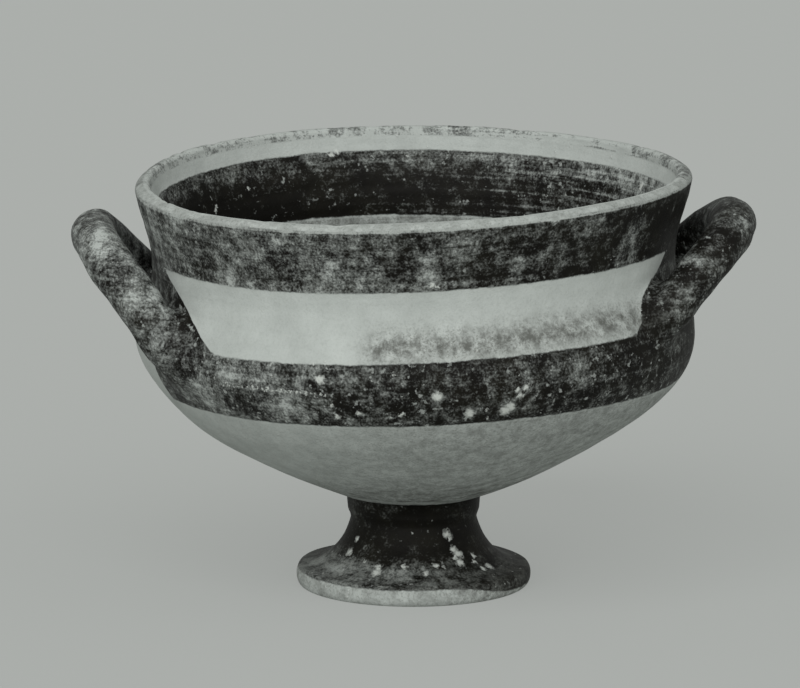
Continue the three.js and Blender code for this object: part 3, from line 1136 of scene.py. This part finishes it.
def lime_crust(node, shared):
    settings = {"Scale": 1 / SHAKE_SIZE, "Detail": 2.0}
    shake = node(NOISE, shared["place"], settings, give="Color")
    shake = node(VECTOR_SUBTRACT, shake, (0.5, 0.5, 0.5))
    shake = node(SCALE, shake, {"Scale": SHAKE_REACH})
    shaken = node(VECTOR_ADD, shared["place"], shake)
    crust = 0.0
    for size, pixels in CRUSTS.items():
        for pixel in pixels:
            away = node(DISTANCE, shaken, place_at(pixel), give="Value")
            one = node(MAP_RANGE, away, size * CRUST_EDGE, size * CRUST_CORE)
            crust = node(MAXIMUM, one, crust)
    settings = {"Scale": 1 / SPECK_SPACING, "Randomness": 1.0}
    cells = node("ShaderNodeTexVoronoi", shaken, settings)
    chance = node("ShaderNodeSeparateColor", cells.node.outputs["Color"])
    rare = node(SUBTRACT, chance, shared["flaked"])
    reach = node(MAP_RANGE, rare, -SPECK_CHANCE, 0.0, SPECK_RADIUS, 0.0)
    within = node(SUBTRACT, reach, cells)
    speck = node(MAP_RANGE, within, 0.0, SPECK_EDGE, 0.0, SPECK_COVER)
    return node(MAXIMUM, crust, speck)


print("specks in cells of", SPECK_SPACING, "mm")

# %% [markdown]
# ### Put the finish together
#
# Lime lies over slip, and slip over clay. The same shares that mix the colours also raise the
# surface by tenths of a millimetre in a bump, which is finer than the mesh could carry, and make
# whole slip a little smoother than clay.

# %% Material: fired clay under worn slip
SLIP_TONE_RANGE = (0.4, 0.7)
CLAY_ROUGHNESS = 0.9
SLIP_ROUGHNESS = 0.58
BUMP_STRENGTH = 0.7
GRAIN_RELIEF = 0.12
FLECK_RELIEF = 0.3
SLIP_RELIEF = 0.05
LIME_RELIEF = 0.3


def painted_clay():
    material = bpy.data.materials.new("fired_clay_with_worn_slip")
    material.use_nodes = True
    tree = material.node_tree
    tree.nodes.clear()
    node = partial(add_node, tree)
    shared = shared_patterns(node)
    cover = slip_cover(node, shared)
    lime = lime_crust(node, shared)
    bare = bare_clay(node, shared)
    tone = node(MAP_RANGE, shared["cloud"], *SLIP_TONE_RANGE)
    dark = node(MIX, tone, {FIRST: SLIP_DARK, SECOND: SLIP_THIN}, give=MIXED)
    colour = node(MIX, cover, {FIRST: bare, SECOND: dark}, give=MIXED)
    colour = node(MIX, lime, {FIRST: colour, SECOND: LIME}, give=MIXED)

    relief = node(MULTIPLY, shared["grain"], GRAIN_RELIEF)
    layers = ((shared["fleck"], FLECK_RELIEF), (cover, SLIP_RELIEF), (lime, LIME_RELIEF))
    for source, depth in layers:
        relief = node(MULTIPLY_ADD, source, depth, relief)
    bumped = node("ShaderNodeBump", {"Strength": BUMP_STRENGTH, "Distance": MM, "Height": relief})
    roughness = node(MAP_RANGE, cover, 0.0, 1.0, CLAY_ROUGHNESS, SLIP_ROUGHNESS)
    shader = node("ShaderNodeBsdfPrincipled", {
        "Base Color": colour, "Roughness": roughness, "Normal": bumped, "IOR": 1.5,
        "Specular IOR Level": 0.1})
    node("ShaderNodeOutputMaterial", {"Surface": shader})
    return material


clay = painted_clay()
print(clay.name, "has", len(clay.node_tree.nodes), "nodes")

# %% [markdown]
# ## The marks of hand and wheel
#
# No thrown pot is true. The wall wanders by a few tenths of a millimetre, fingers leave rings on
# it, the rolled handles are lumpy, and the lip is nicked. The export keeps only real geometry, so
# this relief moves the mesh itself. It follows rules, so it is a tree: each kind of mark is a noise
# with its own size and depth, masked by the measures stored on the points, and all of them are
# added up and laid off along the normal. The ring that the pot stands on is left flat.

# %% Tree: uneven clay
RELIEF_SIZES = {
    "Wander Size": 38.0, "Wander Depth": 0.3, "Ring Pitch": 3.6, "Ring Depth": 0.09,
    "Handle Size": 12.0, "Handle Depth": 0.35, "Nick Size": 6.0, "Nick Depth": 0.55,
    "Chip Reach": 5.0, "Chip Depth": 1.0,
}
NOISE_TO_DEPTH = 4.0
RING_SQUEEZE = 0.012
OFF_ROD_RANGE = (0.5, 8.0)
ON_ROD_RANGE = (3.0, 0.3)
NICKED_BELOW_RIM = (3, 0.5)
NICK_RANGE = (0.56, 0.72)
ABOVE_REST_RANGE = (0.3, 4.0)


def uneven(node, place_socket, size, depth, detail):
    """A noise of the given size, centred on zero and as deep as the depth."""
    per_mm = node(DIVIDE, 1.0, size)
    noise = node(NOISE, place_socket, {"Scale": per_mm, "Detail": detail})
    centred = node(SUBTRACT, noise, 0.5)
    full = node(MULTIPLY, centred, depth)
    return node(MULTIPLY, full, NOISE_TO_DEPTH)


def relief_tree():
    inputs = [(label, "Float") for label in RELIEF_SIZES]
    inputs += [("Chip Place", "Vector"), ("Material", "Material")]
    tree, node, given, output = new_tree("uneven_clay", inputs)
    level, inside_share, rod_gap = [
        node("GeometryNodeInputNamedAttribute", name)
        for name in ("pot_height", "inside", "to_rod")]
    position = node("GeometryNodeInputPosition")
    place_mm = node(SCALE, position, {"Scale": 1 / MM})
    wander = uneven(node, place_mm, given["Wander Size"], given["Wander Depth"], 1.0)

    turns = node(DIVIDE, level, given["Ring Pitch"])
    parts = node("ShaderNodeSeparateXYZ", place_mm).node.outputs
    long_way = [node(MULTIPLY, parts[axis], RING_SQUEEZE) for axis in (0, 1)]
    stretched = node("ShaderNodeCombineXYZ", *long_way, turns)
    rings = uneven(node, stretched, 1.0, given["Ring Depth"], 2.0)
    off_rod = node(MAP_RANGE, rod_gap, *OFF_ROD_RANGE, 0.0, 1.0)
    more_inside = node(ADD, inside_share, 1.0)
    rings = node(MULTIPLY, rings, off_rod)
    rings = node(MULTIPLY, rings, more_inside)

    on_rod_share = node(MAP_RANGE, rod_gap, *ON_ROD_RANGE, 0.0, 1.0)
    not_inside = node(SUBTRACT, 1.0, inside_share)
    lumps = uneven(node, place_mm, given["Handle Size"], given["Handle Depth"], 1.5)
    lumps = node(MULTIPLY, lumps, on_rod_share)
    lumps = node(MULTIPLY, lumps, not_inside)

    nicked = [RIM_HEIGHT - below for below in NICKED_BELOW_RIM]
    near_lip = node(MAP_RANGE, level, *nicked, 0.0, 1.0)
    per_nick = node(DIVIDE, 1.0, given["Nick Size"])
    nick_noise = node(NOISE, place_mm, {"Scale": per_nick, "Detail": 2.0})
    nick = node(MAP_RANGE, nick_noise, *NICK_RANGE, interpolation_type="SMOOTHSTEP")
    nick = node(MULTIPLY, nick, near_lip)
    nick = node(MULTIPLY, nick, given["Nick Depth"])
    from_chip = node(DISTANCE, place_mm, given["Chip Place"], give="Value")
    chip = node(MAP_RANGE, from_chip, given["Chip Reach"], 0.0, 0.0, given["Chip Depth"],
                interpolation_type="SMOOTHSTEP")
    lost = node(ADD, nick, chip)

    gained = node(ADD, wander, rings)
    gained = node(ADD, gained, lumps)
    moved = node(SUBTRACT, gained, lost)
    above_rest = node(MAP_RANGE, level, *ABOVE_REST_RANGE, 0.0, MM)
    moved = node(MULTIPLY, moved, above_rest)
    normal = node("GeometryNodeInputNormal")
    offset = node(SCALE, normal, {"Scale": moved})
    shaped = node("GeometryNodeSetPosition", {"Geometry": given["Geometry"], "Offset": offset})
    finish_tree(tree, output, shaped, given["Material"])
    return tree


uneven_clay = relief_tree()
print(uneven_clay.name, "has", len(uneven_clay.nodes), "nodes")

# %% Shape and paint the pot
LIP_CHIP_PIXEL = (335, 229)
chip_settings = {"Chip Place": place_at(LIP_CHIP_PIXEL), "Material": clay}
body = run_tree(body, uneven_clay, "painted_footed_bowl", **RELIEF_SIZES, **chip_settings)
body.data.shade_smooth()
body.data.calc_loop_triangles()
print("finished pot:", len(body.data.loop_triangles), "triangles")

# %% [markdown]
# ## Floor and light
#
# The pot was photographed on pale paper under soft light from the front, left and above. A wide
# flat floor fills the picture from a camera that looks down a little, and the pot can be looked at
# from every side over it. The paper glows faintly, which keeps the shadow on it soft. Two suns
# with a wide spread stand for a window and for the light that a pale room throws back.

# %% Floor
def set_sockets(node, values):
    for socket, value in values.items():
        node.inputs[socket].default_value = value


PAPER_HALF_WIDTH = 9.0
corners = [(x_side * PAPER_HALF_WIDTH, y_side * PAPER_HALF_WIDTH, 0)
           for x_side, y_side in ((-1, -1), (1, -1), (1, 1), (-1, 1))]
floor_mesh = bpy.data.meshes.new("paper_floor")
floor_mesh.from_pydata(corners, [], [(0, 1, 2, 3)])
floor = add_object("paper_floor", floor_mesh)
paper = bpy.data.materials.new("pale_paper")
paper.use_nodes = True
set_sockets(paper.node_tree.nodes["Principled BSDF"], {
    "Base Color": srgb("#666866"), "Emission Color": srgb("#E7EBE7"), "Emission Strength": 0.35,
    "Specular IOR Level": 0.0, "Roughness": 1.0})
floor.data.materials.append(paper)
print("floor is", 2 * PAPER_HALF_WIDTH, "m wide")


# %% Lights and world
def soft_light(name, comes_from, spread, strength):
    data = bpy.data.lights.new(name, "SUN")
    data.energy = strength
    data.angle = math.radians(spread)
    light = add_object(name, data)
    light.rotation_euler = (-Vector(comes_from)).to_track_quat("-Z", "Y").to_euler()
    return light


lights = [
    soft_light("window", (-0.42, -1.0, 0.72), 60, 2.3),
    soft_light("fill", (1.0, -1.0, 0.7), 70, 0.7),
]
world = bpy.data.worlds.new("studio")
world.use_nodes = True
set_sockets(world.node_tree.nodes["Background"], {"Color": srgb("#E9EBE8"), "Strength": 0.58})
bpy.context.scene.world = world
bpy.context.scene.view_settings.view_transform = "Standard"
print("lights:", [light.name for light in lights])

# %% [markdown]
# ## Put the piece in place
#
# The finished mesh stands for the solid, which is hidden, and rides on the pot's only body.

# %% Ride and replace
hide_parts("footed_bowl")
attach(body, "root")
